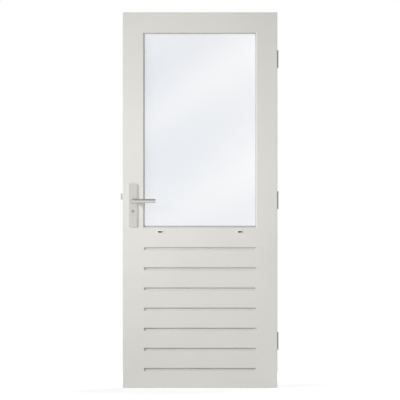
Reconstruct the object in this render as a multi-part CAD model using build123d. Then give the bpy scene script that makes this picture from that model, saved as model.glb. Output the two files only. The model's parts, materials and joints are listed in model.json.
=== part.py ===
from build123d import *
import os

# Wooden balcony door leaf with its glazing, lock, handles and hinges, in millimetres.
# The origin is the middle of the leaf's foot. X runs from the lock edge to the hinge edge,
# Y from the outside face to the inside face, and Z up.

# Leaf woodwork
leaf_width = 830.0
leaf_height = 2015.0
leaf_arris = 2.5
stile_wall = 16.5
top_rail_height = 112.0
mid_rail_height = 108.5
bottom_rail_height = 106.0
tenon_length = 26.0
tenon_thickness = 18.0
tenon_shoulder = 14.0

# Grooved lower panel
board_height = 108.0
board_count = 6
groove_height = 17.0
groove_floor = 7.0
groove_depth = 13.0
tongue_depth = 12.0
tongue_thickness = 14.0

# Glazing, from the outside lip to the inside bead
lip_thickness = 13.0
outer_gasket_thickness = 3.0
pane_thickness = 4.0
pane_gap = 16.0
inner_gasket_thickness = 3.0
bead_thickness = 11.0
rebate_cover = 15.0
sight_bevel = 4.5
unit_clearance = 4.0
edge_seal_width = 5.0
spacer_width = 7.5
gasket_inset = 1.0
gasket_show = 0.8
sill_gasket_show = 7.0
bead_show = 3.0
bead_bevel = 6.0
bevel_angle = 45.0
setting_block_length = 90.0
setting_block_inset = 100.0

# Drain inserts under the glass
drain_inset = 85.5
drain_drop = 26.0
drain_flange_length = 38.0
drain_flange_height = 19.0
drain_flange_thickness = 1.8
drain_body_length = 31.0
drain_body_height = 13.0
drain_body_depth = 11.0
drain_throat_length = 26.0
drain_throat_height = 8.5
drain_floor = 2.0
drain_brow = 3.5
drain_brow_wall = 2.4
drain_hole_radius = 3.0
drain_hole_setback = 5.0
drain_well_radius = 4.0
drain_well_depth = 5.0
drain_play = 0.2

# Handle set
lever_above_rail = 140.0
backset = 55.0
plate_width = 44.0
plate_corner = 4.0
plate_edge_bevel = 1.0
plate_margin_top = 35.0
plate_margin_bottom = 32.0
outside_plate_thickness = 10.0
inside_plate_thickness = 8.0
plate_bolt_distance = 15.0
plate_bolt_radius = 3.0
plate_bolt_head_radius = 5.5
plate_bolt_head_height = 4.0
plate_bolt_skin = 3.0
plate_bolt_play = 0.3
lever_radius = 10.5
lever_length = 121.0
lever_projection = 41.0
lever_bend = 17.0
lever_tip_bevel = 1.5
lever_foot_gap = 1.0
bush_play = 0.08
bush_wall = 2.5
bush_collar = 2.0
spindle_size = 8.0
spindle_play = 0.1
spindle_bite = 17.0
spindle_hole_radius = 13.0
grub_radius = 2.5
grub_length = 6.0
grub_offset = 7.0
grub_play = 0.1

# Lock
case_thickness = 16.0
case_wall = 2.0
cover_thickness = 2.0
case_back_reach = 28.0
case_headroom = 16.0
case_footroom = 28.5
case_play = 0.5
forend_thickness = 3.0
forend_width = 22.0
forend_overhang = 35.0
forend_hole_radius = 2.4
hub_radius = 9.0
hub_play = 0.08
claw_half_width = 3.5
claw_thickness = 8.0
claw_reach = 17.5
claw_gap = 0.35
latch_rise = 7.0
latch_height = 34.0
latch_thickness = 11.4
latch_throw = 11.0
latch_stroke = 11.5
latch_nose = 2.0
latch_head_depth = 16.0
latch_tail_thickness = 7.0
latch_tail_height = 13.0
latch_tail_gap = 1.0
latch_lug_length = 7.0
latch_lug_drop = 8.0
deadbolt_rise = 9.0
deadbolt_height = 28.0
deadbolt_gap = 9.0
deadbolt_thickness = 11.4
deadbolt_throw = 20.0
deadbolt_setback = 0.4
deadbolt_head_depth = 38.0
deadbolt_tail_lift = 9.0
deadbolt_tail_length = 36.0
deadbolt_tail_thickness = 7.0
deadbolt_notch_width = 10.0
deadbolt_notch_height = 3.5
window_play = 0.3
stud_radius = 3.0
stud_play = 0.2
stud_offset = 4.0

# Profile cylinder
profile_radius = 8.5
profile_height = 33.0
profile_tail_radius = 5.0
profile_play = 0.4
profile_hole_play = 1.5
cylinder_proud = 1.5
plug_radius = 6.5
plug_play = 0.08
plug_recess = 0.3
keyway_width = 2.6
keyway_height = 9.0
keyway_drop = 1.0
keyway_depth = 26.0
cam_width = 9.6
cam_slot_play = 0.3
cam_hub_radius = 8.2
cam_radius = 15.0
cam_arm_half_width = 3.5
cam_room = 0.8
cylinder_screw_radius = 2.4
cylinder_screw_tip = 8.0
cylinder_screw_head = 4.5
cylinder_screw_play = 0.15

# Hinges
hinge_height = 89.0
hinge_end_distance = 250.0
hinge_gap = 3.0
flap_width = 36.0
flap_thickness = 3.0
flap_corner = 8.0
flap_play = 0.15
flap_hole_columns = 18.0
flap_hole_rows = 60.0
flap_hole_radius = 2.6
flap_sink_radius = 4.65
knuckle_radius = 7.0
knuckle_stand_off = 1.0
knuckle_count = 3
knuckle_play = 0.15
bearing_height = 2.5
pin_radius = 4.0
pin_play = 0.06
pin_cap_height = 4.0

# How far a cut runs past the face that it opens
overrun = 5.0

# Places worked out from the sizes above
unit_thickness = 2 * pane_thickness + pane_gap
clamped_thickness = outer_gasket_thickness + unit_thickness + inner_gasket_thickness
leaf_thickness = lip_thickness + clamped_thickness + bead_thickness
outside_face = -leaf_thickness / 2
inside_face = leaf_thickness / 2
lock_edge = -leaf_width / 2
hinge_edge = leaf_width / 2
stile_width = backset + case_back_reach + stile_wall + rebate_cover
panel_top = bottom_rail_height + board_count * board_height
sight_half = leaf_width / 2 - stile_width
sight_bottom = panel_top + mid_rail_height
sight_top = leaf_height - top_rail_height
sight_middle = (sight_bottom + sight_top) / 2
sight_height = sight_top - sight_bottom
lip_back = outside_face + lip_thickness
unit_front = lip_back + outer_gasket_thickness
unit_back = unit_front + unit_thickness
bead_front = inside_face - bead_thickness
unit_cover = rebate_cover - unit_clearance

axis_x = lock_edge + backset
lever_z = sight_bottom + lever_above_rail
cylinder_z = lever_z - hub_radius - deadbolt_gap - deadbolt_height - deadbolt_rise
case_half = case_thickness / 2
case_front = lock_edge + forend_thickness
case_back = axis_x + case_back_reach
case_top = lever_z + latch_rise + latch_height + case_headroom
case_bottom = cylinder_z - (profile_height - profile_radius) - case_footroom
plate_top = case_top + plate_margin_top
plate_bottom = case_bottom - plate_margin_bottom
plate_bolt_heights = (case_bottom - plate_bolt_distance, case_top + plate_bolt_distance)
forend_bottom = case_bottom - forend_overhang
forend_top = case_top + forend_overhang
forend_screw_heights = (forend_bottom + forend_overhang / 2, forend_top - forend_overhang / 2)
cylinder_screw_z = cylinder_z - (cam_radius + cam_room + profile_height - profile_radius) / 2
cylinder_front = outside_face - outside_plate_thickness - cylinder_proud
cylinder_back = inside_face + inside_plate_thickness + cylinder_proud
latch_bottom = lever_z + latch_rise
latch_tail_bottom = lever_z + claw_reach + latch_tail_gap
latch_head_back = lock_edge + latch_head_depth
deadbolt_bottom = cylinder_z + deadbolt_rise
deadbolt_top = deadbolt_bottom + deadbolt_height
deadbolt_front = lock_edge + deadbolt_setback
deadbolt_head_back = deadbolt_front + deadbolt_head_depth
deadbolt_tail_bottom = deadbolt_bottom + deadbolt_tail_lift

hinge_x = hinge_edge + hinge_gap / 2
hinge_y = inside_face + knuckle_stand_off + knuckle_radius
hinge_bottom_z = hinge_end_distance
hinge_top_z = leaf_height - hinge_end_distance
hinge_heights = {
    "bottom": hinge_bottom_z,
    "middle": (hinge_bottom_z + hinge_top_z) / 2,
    "top": hinge_top_z,
}
knuckle_step_play = bearing_height + 2 * knuckle_play
knuckle_height = (hinge_height - (knuckle_count - 1) * knuckle_step_play) / knuckle_count


def block(x0, x1, y0, y1, z0, z1):
    """Box between two corners."""
    middle = Pos((x0 + x1) / 2, (y0 + y1) / 2, (z0 + z1) / 2)
    return middle * Box(x1 - x0, y1 - y0, z1 - z0)


def rod_x(radius, x0, x1, y, z):
    """Round bar along X."""
    return Pos((x0 + x1) / 2, y, z) * Rot(0, 90, 0) * Cylinder(radius, x1 - x0)


def rod_y(radius, y0, y1, x, z):
    """Round bar along Y."""
    return Pos(x, (y0 + y1) / 2, z) * Rot(90, 0, 0) * Cylinder(radius, y1 - y0)


def rod_z(radius, z0, z1, x, y):
    """Round bar along Z."""
    return Pos(x, y, (z0 + z1) / 2) * Cylinder(radius, z1 - z0)


def square_bar(half, y0, y1):
    """Square bar along the lever axis."""
    return block(axis_x - half, axis_x + half, y0, y1, lever_z - half, lever_z + half)


def sight_ring(side_out, side_in, foot_in, y0, y1):
    """Frame round the glass that reaches side_out beyond the sight line and side_in inside it."""
    outer = block(
        -sight_half - side_out, sight_half + side_out, y0, y1, sight_bottom - side_out, sight_top + side_out
    )
    inner = block(
        -sight_half + side_in,
        sight_half - side_in,
        y0 - overrun,
        y1 + overrun,
        sight_bottom + foot_in,
        sight_top - side_in,
    )
    return outer - inner


def bevelled_opening(spread, depth):
    """Tapered block that bevels an opening from the inside face, wider than the sight line by spread there."""
    face = Plane.XZ.offset(-inside_face) * Pos(0, sight_middle) * Rectangle(
        2 * (sight_half + spread), sight_height + 2 * spread
    )
    return extrude(face, amount=depth, taper=bevel_angle)


def profile_bar(y0, y1, room):
    """Bar with the outline of the profile cylinder, made larger all round by room."""
    tail_z = cylinder_z - (profile_height - profile_radius - profile_tail_radius)
    half = profile_tail_radius + room
    barrel = rod_y(profile_radius + room, y0, y1, axis_x, cylinder_z)
    tail = block(axis_x - half, axis_x + half, y0, y1, tail_z, cylinder_z)
    foot = rod_y(half, y0, y1, axis_x, tail_z)
    return barrel + tail + foot


def countersunk_rod(head_radius, radius, length):
    """Round bar down from the origin with a countersunk head at its top, as a screw or its hole."""
    outline = Polygon(
        (0, 0), (head_radius, 0), (radius, radius - head_radius), (radius, -length), (0, -length), align=None
    )
    return revolve(Plane.XZ * outline, axis=Axis.Z)


def leaf_block():
    """Whole leaf with the arrises of both faces rounded."""
    whole = block(lock_edge, hinge_edge, outside_face, inside_face, 0, leaf_height)
    return fillet(whole.edges().filter_by(Axis.Y, reverse=True), leaf_arris)


def glazing_cuts():
    """Rebate behind the lip and the bevel of the lip's outer edge."""
    rebate = block(
        -sight_half - rebate_cover,
        sight_half + rebate_cover,
        lip_back,
        inside_face + overrun,
        sight_bottom - rebate_cover,
        sight_top + rebate_cover,
    )
    return rebate + mirror(bevelled_opening(sight_bevel, sight_bevel), about=Plane.XZ)


def tenon(z0, z1):
    """Stub tenons at both ends of a rail, as one bar through the rail."""
    reach = sight_half + tenon_length
    return block(-reach, reach, -tenon_thickness / 2, tenon_thickness / 2, z0, z1)


def top_tenon():
    return tenon(sight_top + rebate_cover + tenon_shoulder, leaf_height - tenon_shoulder)


def mid_tenon():
    return tenon(panel_top + tongue_depth + tenon_shoulder, sight_bottom - rebate_cover - tenon_shoulder)


def bottom_tenon():
    return tenon(tenon_shoulder, bottom_rail_height - tongue_depth - tenon_shoulder)


def panel_tongue():
    """Tongue round the lower panel that sits in the stiles and rails."""
    reach = sight_half + tongue_depth
    half = tongue_thickness / 2
    return block(-reach, reach, -half, half, bottom_rail_height - tongue_depth, panel_top + tongue_depth)


def groove_pair(z):
    """Grooves across both faces, square above and sloped below, with their shoulder at height z."""
    floor = outside_face + groove_depth
    outline = Polygon(
        (outside_face - overrun, z),
        (outside_face - overrun, z - groove_height),
        (outside_face, z - groove_height),
        (floor, z - groove_floor),
        (floor, z),
        align=None,
    )
    outside = extrude(Plane.YZ.offset(-sight_half) * outline, amount=2 * sight_half)
    return outside + mirror(outside, about=Plane.XZ)


def forend_outline(room):
    """Outline of the forend on the lock edge."""
    middle = Pos(0, (forend_bottom + forend_top) / 2)
    upright = Rot(0, 0, 90) * SlotOverall(forend_top - forend_bottom + 2 * room, forend_width + 2 * room)
    return Plane.YZ.offset(lock_edge) * middle * upright


def cylinder_screw(room):
    """Screw that holds the cylinder, made larger all round by room."""
    length = backset + cylinder_screw_tip + room
    screw = countersunk_rod(cylinder_screw_head + room, cylinder_screw_radius + room, length)
    return Pos(lock_edge, 0, cylinder_screw_z) * Rot(0, -90, 0) * screw


def plate_bolt(z, room):
    """Bolt from the inside plate through the leaf into the outside plate."""
    front = outside_face - outside_plate_thickness + plate_bolt_skin
    back = inside_face + inside_plate_thickness
    shank = rod_y(plate_bolt_radius + room, front - room, back, axis_x, z)
    head = rod_y(plate_bolt_head_radius + room, back - plate_bolt_head_height - room, back, axis_x, z)
    return shank + head


def lock_stile():
    stile = leaf_block() & block(lock_edge, -sight_half, outside_face, inside_face, 0, leaf_height)
    stile -= glazing_cuts() + top_tenon() + mid_tenon() + bottom_tenon() + panel_tongue()
    half = case_half + case_play
    stile -= block(
        lock_edge - overrun, case_back + case_play, -half, half, case_bottom - case_play, case_top + case_play
    )
    stile -= extrude(forend_outline(case_play), amount=forend_thickness)
    stile -= rod_y(spindle_hole_radius, outside_face - overrun, inside_face + overrun, axis_x, lever_z)
    stile -= profile_bar(outside_face - overrun, inside_face + overrun, profile_hole_play)
    for z in plate_bolt_heights:
        stile -= plate_bolt(z, plate_bolt_play)
    return stile


def hinge_stile():
    stile = leaf_block() & block(sight_half, hinge_edge, outside_face, inside_face, 0, leaf_height)
    stile -= glazing_cuts() + top_tenon() + mid_tenon() + bottom_tenon() + panel_tongue()
    for z in hinge_heights.values():
        stile -= Pos(hinge_edge, 0, z) * hinge_recess()
    return stile


def rail_length_of_leaf(z0, z1):
    """Length of the leaf between its stiles, from z0 to z1."""
    return leaf_block() & block(-sight_half, sight_half, outside_face, inside_face, z0, z1)


def top_rail():
    return rail_length_of_leaf(sight_top, leaf_height) - glazing_cuts() + top_tenon()


def mid_rail():
    rail = rail_length_of_leaf(panel_top, sight_bottom) - glazing_cuts() - panel_tongue()
    for x in drain_places:
        rail -= Pos(x, 0, sight_bottom - drain_drop) * drain_cut()
    return rail + mid_tenon()


def bottom_rail():
    rail = rail_length_of_leaf(0, bottom_rail_height) - panel_tongue() - groove_pair(bottom_rail_height)
    return rail + bottom_tenon()


def lower_panel():
    panel = rail_length_of_leaf(bottom_rail_height, panel_top)
    for board in range(1, board_count + 1):
        panel -= groove_pair(bottom_rail_height + board * board_height)
    return panel + panel_tongue()


def pane(y0):
    """Sheet of glass whose outer face is at y0."""
    reach = sight_half + unit_cover
    return block(-reach, reach, y0, y0 + pane_thickness, sight_bottom - unit_cover, sight_top + unit_cover)


def edge_seal():
    inner = edge_seal_width - unit_cover
    return sight_ring(unit_cover, inner, inner, unit_front + pane_thickness, unit_back - pane_thickness)


def spacer_bar():
    outer = unit_cover - edge_seal_width
    inner = spacer_width - outer
    return sight_ring(outer, inner, inner, unit_front + pane_thickness, unit_back - pane_thickness)


def outer_gasket():
    return sight_ring(rebate_cover - gasket_inset, gasket_show, sill_gasket_show, lip_back, unit_front)


def inner_gasket():
    return sight_ring(rebate_cover - gasket_inset, gasket_show, gasket_show, unit_back, bead_front)


def setting_blocks():
    """Blocks that carry the glass unit on the foot of the rebate."""
    z0 = sight_bottom - rebate_cover
    half = setting_block_length / 2
    place = sight_half + unit_cover - setting_block_inset
    one = block(-half, half, unit_front, unit_back, z0, z0 + unit_clearance)
    return Compound(children=[Pos(x, 0, 0) * one for x in (-place, place)])


def glazing_beads():
    """Four mitred beads that hold the glass unit from the inside."""
    outer_x = sight_half + rebate_cover
    inner_x = sight_half - bead_show
    outer_corners = [
        (-outer_x, sight_bottom - rebate_cover),
        (outer_x, sight_bottom - rebate_cover),
        (outer_x, sight_top + rebate_cover),
        (-outer_x, sight_top + rebate_cover),
    ]
    inner_corners = [
        (-inner_x, sight_bottom + bead_show),
        (inner_x, sight_bottom + bead_show),
        (inner_x, sight_top - bead_show),
        (-inner_x, sight_top - bead_show),
    ]
    bevel = bevelled_opening(bead_bevel - bead_show, bead_bevel)
    beads = {}
    for start, name in enumerate(("bottom", "right", "top", "left")):
        end = (start + 1) % len(outer_corners)
        outline = Polygon(
            outer_corners[start], outer_corners[end], inner_corners[end], inner_corners[start], align=None
        )
        bead = extrude(Plane.XZ.offset(-inside_face) * outline, amount=bead_thickness)
        beads["bead_" + name] = bead - bevel
    return beads


drain_places = (drain_inset - sight_half, sight_half - drain_inset)


def drain_slot(length, height, y0, y1):
    """Oval bar along Y, round at both ends, at the foot of X and Z."""
    face = Plane.XZ.offset(-y1) * SlotOverall(length, height)
    return extrude(face, amount=y1 - y0)


def drain_cut():
    """Pocket for a drain insert and the holes that lead to it from the rebate."""
    pocket_back = outside_face + drain_body_depth + drain_play
    pocket = drain_slot(
        drain_body_length + 2 * drain_play, drain_body_height + 2 * drain_play, outside_face - overrun, pocket_back
    )
    hole_y = lip_back + drain_hole_setback
    across = rod_y(drain_hole_radius, pocket_back - overrun, hole_y, 0, 0)
    down = rod_z(drain_well_radius, -drain_well_depth, drain_drop, 0, hole_y)
    return pocket + across + down


def drain_insert():
    """Oval insert with a brow over its mouth."""
    face = outside_face - drain_flange_thickness
    back = outside_face + drain_body_depth
    flange = drain_slot(drain_flange_length, drain_flange_height, face, outside_face)
    body = drain_slot(drain_body_length, drain_body_height, outside_face, back)
    brow_length = drain_throat_length + 2 * drain_brow_wall
    brow_height = drain_throat_height + 2 * drain_brow_wall
    brow = drain_slot(brow_length, brow_height, face - drain_brow, face)
    brow &= block(-brow_length, brow_length, face - drain_brow, face, 0, brow_height)
    insert = chamfer(flange.edges().group_by(Axis.Y)[0], drain_flange_thickness / 2) + body + brow
    insert -= drain_slot(drain_throat_length, drain_throat_height, face - drain_brow - overrun, back - drain_floor)
    return insert - rod_y(drain_hole_radius, outside_face, back + overrun, 0, 0)


def drain_inserts():
    z = sight_bottom - drain_drop
    return Compound(children=[Pos(x, 0, z) * drain_insert() for x in drain_places])


def handle_plate(thickness):
    """Long plate on the outside face, with its bush bore and its cylinder hole."""
    middle = Pos(axis_x, (plate_bottom + plate_top) / 2)
    outline = middle * RectangleRounded(plate_width, plate_top - plate_bottom, plate_corner)
    plate = extrude(Plane.XZ.offset(inside_face) * outline, amount=thickness)
    plate = chamfer(plate.edges().group_by(Axis.Y)[0], plate_edge_bevel)
    front = outside_face - thickness - overrun
    back = outside_face + overrun
    plate -= rod_y(lever_radius + bush_play + bush_wall, front, back, axis_x, lever_z)
    return plate - profile_bar(front, back, profile_play)


def outside_plate():
    plate = handle_plate(outside_plate_thickness)
    for z in plate_bolt_heights:
        plate -= plate_bolt(z, plate_bolt_play)
    return plate


def inside_plate():
    plate = mirror(handle_plate(inside_plate_thickness), about=Plane.XZ)
    for z in plate_bolt_heights:
        plate -= plate_bolt(z, plate_bolt_play)
    return plate


def lever_bush(thickness):
    """Bush in the outside plate that carries the lever's neck, with a collar in front of the plate."""
    inner = lever_radius + bush_play
    front = outside_face - thickness - bush_collar
    sleeve = rod_y(inner + bush_wall, front, outside_face, axis_x, lever_z)
    return sleeve - rod_y(inner, front - overrun, outside_face + overrun, axis_x, lever_z)


def lever(thickness):
    """Round bar on the outside face, bent from its neck into a level grip."""
    foot = outside_face - lever_foot_gap
    reach = outside_face - thickness - lever_projection
    path = FilletPolyline(
        (axis_x, foot, lever_z),
        (axis_x, reach, lever_z),
        (axis_x + lever_length, reach, lever_z),
        radius=lever_bend,
    )
    section = Plane(origin=path @ 0, z_dir=path % 0) * Circle(lever_radius)
    grip = sweep(section, path=path)
    grip = chamfer(grip.edges().sort_by(Axis.X)[-1], lever_tip_bevel)
    socket_end = outside_face - thickness - spindle_bite
    grip -= square_bar(spindle_size / 2 + spindle_play, socket_end - spindle_play, outside_face)
    return grip - grub_place(thickness, grub_play, lever_radius)


def grub_place(thickness, room, length):
    """Grub screw under the neck that clamps the lever on the spindle."""
    top = lever_z - spindle_size / 2 - spindle_play
    y = outside_face - thickness - grub_offset
    return rod_z(grub_radius + room, top - length, top, axis_x, y)


def grub_screws():
    outside = grub_place(outside_plate_thickness, 0, grub_length)
    inside = mirror(grub_place(inside_plate_thickness, 0, grub_length), about=Plane.XZ)
    return Compound(children=[outside, inside])


def spindle():
    front = outside_face - outside_plate_thickness - spindle_bite
    back = inside_face + inside_plate_thickness + spindle_bite
    return square_bar(spindle_size / 2, front, back)


def plate_bolts():
    return Compound(children=[plate_bolt(z, 0) for z in plate_bolt_heights])


def bolt_windows(x0, x1):
    """Windows that the latch bolt and the deadbolt slide through."""
    latch_half = latch_thickness / 2 + window_play
    dead_half = deadbolt_thickness / 2 + window_play
    latch_window = block(
        x0,
        x1,
        -latch_half,
        latch_half,
        latch_bottom - window_play,
        latch_bottom + latch_height + window_play,
    )
    dead_window = block(
        x0, x1, -dead_half, dead_half, deadbolt_bottom - window_play, deadbolt_top + window_play
    )
    return latch_window + dead_window


def guide_stud(x, z):
    """Stud on the case wall that a bolt's tail slides on."""
    return rod_y(stud_radius, -case_half + case_wall, case_half - cover_thickness, x, z)


latch_stud_x = latch_head_back + latch_stroke + stud_radius + stud_offset
latch_stud_z = latch_tail_bottom + latch_tail_height / 2
deadbolt_stud_x = deadbolt_head_back + stud_radius + stud_offset
deadbolt_stud_z = (deadbolt_tail_bottom + deadbolt_top) / 2


def lock_openings():
    """Holes through the side walls of the lock for the follower and the cylinder."""
    hub = rod_y(hub_radius + hub_play, -case_half - overrun, case_half + overrun, axis_x, lever_z)
    return hub + profile_bar(-case_half - overrun, case_half + overrun, profile_play)


def lock_case():
    inner_face = case_half - cover_thickness
    case = block(case_front, case_back, -case_half, inner_face, case_bottom, case_top)
    case -= block(
        case_front + case_wall,
        case_back - case_wall,
        -case_half + case_wall,
        inner_face + overrun,
        case_bottom + case_wall,
        case_top - case_wall,
    )
    case -= bolt_windows(case_front - overrun, case_front + case_wall) + lock_openings()
    case -= cylinder_screw(cylinder_screw_play)
    return case + guide_stud(latch_stud_x, latch_stud_z) + guide_stud(deadbolt_stud_x, deadbolt_stud_z)


def lock_cover():
    cover = block(case_front, case_back, case_half - cover_thickness, case_half, case_bottom, case_top)
    return cover - lock_openings()


def forend():
    plate = extrude(forend_outline(0), amount=forend_thickness)
    plate -= bolt_windows(lock_edge - overrun, case_front + overrun) + cylinder_screw(cylinder_screw_play)
    for z in forend_screw_heights:
        plate -= rod_x(forend_hole_radius, lock_edge - overrun, case_front + overrun, 0, z)
    return plate


def follower():
    """Hub on the spindle, with a claw that draws the latch bolt in."""
    half = claw_thickness / 2
    hub = rod_y(hub_radius, -case_half, case_half, axis_x, lever_z)
    claw = block(
        axis_x - claw_half_width, axis_x + claw_half_width, -half, half, lever_z, lever_z + claw_reach
    )
    return hub + claw - square_bar(spindle_size / 2 + spindle_play, -case_thickness, case_thickness)


def guide_slot(x, z, travel_back, travel_out, half):
    """Slot in a bolt's tail round a guide stud at x, for both directions of travel."""
    radius = stud_radius + stud_play
    x0 = x - travel_back
    x1 = x + travel_out
    ends = rod_y(radius, -half, half, x0, z) + rod_y(radius, -half, half, x1, z)
    return ends + block(x0, x1, -half, half, z - radius, z + radius)


def latch_bolt():
    """Bevelled head and a tail with the lug that the follower's claw draws back."""
    half = latch_thickness / 2
    tip = lock_edge - latch_throw
    plan = Polygon(
        (tip, half), (tip, half - latch_nose), (lock_edge, -half), (latch_head_back, -half), (latch_head_back, half), align=None
    )
    head = extrude(Plane.XY.offset(latch_bottom) * plan, amount=latch_height)
    lug_x = axis_x + claw_half_width + claw_gap
    tail_half = latch_tail_thickness / 2
    tail = block(
        latch_head_back,
        lug_x + latch_lug_length,
        -tail_half,
        tail_half,
        latch_tail_bottom,
        latch_tail_bottom + latch_tail_height,
    )
    lug = block(
        lug_x,
        lug_x + latch_lug_length,
        -tail_half,
        tail_half,
        latch_tail_bottom - latch_lug_drop,
        latch_tail_bottom,
    )
    return head + tail + lug - guide_slot(latch_stud_x, latch_stud_z, latch_stroke, 0, latch_thickness)


def deadbolt():
    """Square bolt and its tail, with the notch that the cam works in."""
    half = deadbolt_thickness / 2
    tail_half = deadbolt_tail_thickness / 2
    tail_end = deadbolt_head_back + deadbolt_tail_length
    head = block(deadbolt_front, deadbolt_head_back, -half, half, deadbolt_bottom, deadbolt_top)
    tail = block(deadbolt_head_back, tail_end, -tail_half, tail_half, deadbolt_tail_bottom, deadbolt_top)
    notch = block(
        axis_x - deadbolt_notch_width / 2,
        axis_x + deadbolt_notch_width / 2,
        -deadbolt_thickness,
        deadbolt_thickness,
        deadbolt_tail_bottom - overrun,
        deadbolt_tail_bottom + deadbolt_notch_height,
    )
    slot = guide_slot(deadbolt_stud_x, deadbolt_stud_z, 0, deadbolt_throw, deadbolt_thickness)
    return head + tail - notch - slot


def cylinder_body():
    """Profile cylinder with its plug bores and the gap that the cam turns in."""
    body = profile_bar(cylinder_front, cylinder_back, 0)
    bore = plug_radius + plug_play
    body -= rod_y(bore, cylinder_front - overrun, cylinder_back + overrun, axis_x, cylinder_z)
    gap = cam_width / 2 + cam_slot_play
    body -= rod_y(cam_radius + cam_room, -gap, gap, axis_x, cylinder_z)
    return body - cylinder_screw(cylinder_screw_play)


def keyway(y0, y1):
    """Slot that a key goes in."""
    half = keyway_width / 2
    middle = cylinder_z - keyway_drop
    return block(
        axis_x - half, axis_x + half, y0, y1, middle - keyway_height / 2, middle + keyway_height / 2
    )


def outer_plug():
    face = cylinder_front + plug_recess
    plug = rod_y(plug_radius, face, -cam_width / 2, axis_x, cylinder_z)
    return plug - keyway(face - overrun, face + keyway_depth)


def inner_plug():
    face = cylinder_back - plug_recess
    plug = rod_y(plug_radius, cam_width / 2, face, axis_x, cylinder_z)
    return plug - keyway(face - keyway_depth, face + overrun)


def cam():
    half = cam_width / 2
    hub = rod_y(cam_hub_radius, -half, half, axis_x, cylinder_z)
    arm = block(
        axis_x - cam_arm_half_width, axis_x + cam_arm_half_width, -half, half, cylinder_z, cylinder_z + cam_radius
    )
    return hub + (arm & rod_y(cam_radius, -half, half, axis_x, cylinder_z))


def flap_outline(room):
    """Flap from the inside face inwards, rounded at its far corners, about the hinge's height."""
    width = flap_width + room
    face = Pos(inside_face - width / 2, 0) * Rectangle(width, hinge_height + 2 * room)
    return fillet(face.vertices().group_by(Axis.X)[0], flap_corner)


flap_holes = [
    (inside_face - flap_width / 2 + column * flap_hole_columns / 2, row * flap_hole_rows / 2)
    for column in (-1, 1)
    for row in (-1, 1)
]


def hinge_recess():
    """Recess in the leaf's edge for one hinge."""
    end = hinge_height / 2
    recess = extrude(Plane.YZ * flap_outline(flap_play), amount=-flap_thickness)
    return recess + block(-flap_thickness, 0, inside_face - leaf_arris, inside_face + overrun, -end, end)


def knuckle_foot(place):
    """Height of the foot of a knuckle above the middle of its hinge."""
    return place * (knuckle_height + knuckle_step_play) - hinge_height / 2


def hinge_flap(side, knuckles, bore):
    """Flap with its knuckles about the middle of the leaf's edge. Side is -1 on the leaf and 1 on the frame."""
    near = hinge_gap / 2
    flap = extrude(Plane.YZ * flap_outline(0), amount=flap_thickness)
    flap = Pos(near, 0, 0) * flap
    for place in knuckles:
        foot = knuckle_foot(place)
        flap += block(near, near + flap_thickness, inside_face, hinge_y, foot, foot + knuckle_height)
        flap += rod_z(knuckle_radius, foot, foot + knuckle_height, 0, hinge_y)
    if side < 0:
        flap = mirror(flap, about=Plane.YZ)
    flap -= rod_z(bore, -hinge_height, hinge_height, 0, hinge_y)
    return flap


def frame_flap():
    flap = hinge_flap(1, range(0, knuckle_count, 2), pin_radius + pin_play)
    sink = countersunk_rod(flap_sink_radius, flap_hole_radius, flap_width)
    for y, z in flap_holes:
        flap -= Pos(hinge_gap / 2, y, z) * Rot(0, -90, 0) * sink
    return flap


def leaf_flap():
    flap = hinge_flap(-1, range(1, knuckle_count, 2), pin_radius + pin_play)
    for y, z in flap_holes:
        flap -= rod_x(flap_hole_radius, -flap_width, 0, y, z)
    return flap


def hinge_pin():
    """Pin with a button cap at each end."""
    end = hinge_height / 2
    pin = rod_z(pin_radius, -end, end, 0, hinge_y)
    top = rod_z(knuckle_radius, end, end + pin_cap_height, 0, hinge_y)
    return pin + top + mirror(top, about=Plane.XY)


def bearing_rings():
    """Rings between the knuckles of one hinge."""
    rings = []
    for place in range(knuckle_count - 1):
        foot = knuckle_foot(place) + knuckle_height + knuckle_play
        ring = rod_z(knuckle_radius, foot, foot + bearing_height, 0, hinge_y)
        rings.append(ring - rod_z(pin_radius + pin_play, foot - overrun, foot + hinge_height, 0, hinge_y))
    return rings


def hinge_pieces():
    """The three hinges, each piece by its name."""
    pieces = {}
    rings = []
    for name, z in hinge_heights.items():
        place = Pos(hinge_x, 0, z)
        pieces["hinge_" + name + "_frame_flap"] = place * frame_flap()
        pieces["hinge_" + name + "_leaf_flap"] = place * leaf_flap()
        pieces["hinge_" + name + "_pin"] = place * hinge_pin()
        rings += [place * ring for ring in bearing_rings()]
    pieces["hinge_bearings"] = Compound(children=rings)
    return pieces


def all_pieces():
    """Every piece of the door by its name."""
    pieces = {
        "lock_stile": lock_stile(),
        "hinge_stile": hinge_stile(),
        "top_rail": top_rail(),
        "mid_rail": mid_rail(),
        "bottom_rail": bottom_rail(),
        "lower_panel": lower_panel(),
        "outer_pane": pane(unit_front),
        "inner_pane": pane(unit_back - pane_thickness),
        "edge_seal": edge_seal(),
        "spacer_bar": spacer_bar(),
        "outer_gasket": outer_gasket(),
        "inner_gasket": inner_gasket(),
        "setting_blocks": setting_blocks(),
        "drain_inserts": drain_inserts(),
        "outside_plate": outside_plate(),
        "inside_plate": inside_plate(),
        "outside_bush": lever_bush(outside_plate_thickness),
        "inside_bush": mirror(lever_bush(inside_plate_thickness), about=Plane.XZ),
        "outside_lever": lever(outside_plate_thickness),
        "inside_lever": mirror(lever(inside_plate_thickness), about=Plane.XZ),
        "spindle": spindle(),
        "grub_screws": grub_screws(),
        "plate_bolts": plate_bolts(),
        "lock_case": lock_case(),
        "lock_cover": lock_cover(),
        "forend": forend(),
        "follower": follower(),
        "latch_bolt": latch_bolt(),
        "deadbolt": deadbolt(),
        "cylinder_body": cylinder_body(),
        "outer_plug": outer_plug(),
        "inner_plug": inner_plug(),
        "cam": cam(),
        "cylinder_screw": cylinder_screw(0),
    }
    pieces.update(glazing_beads())
    pieces.update(hinge_pieces())
    return pieces


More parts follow.
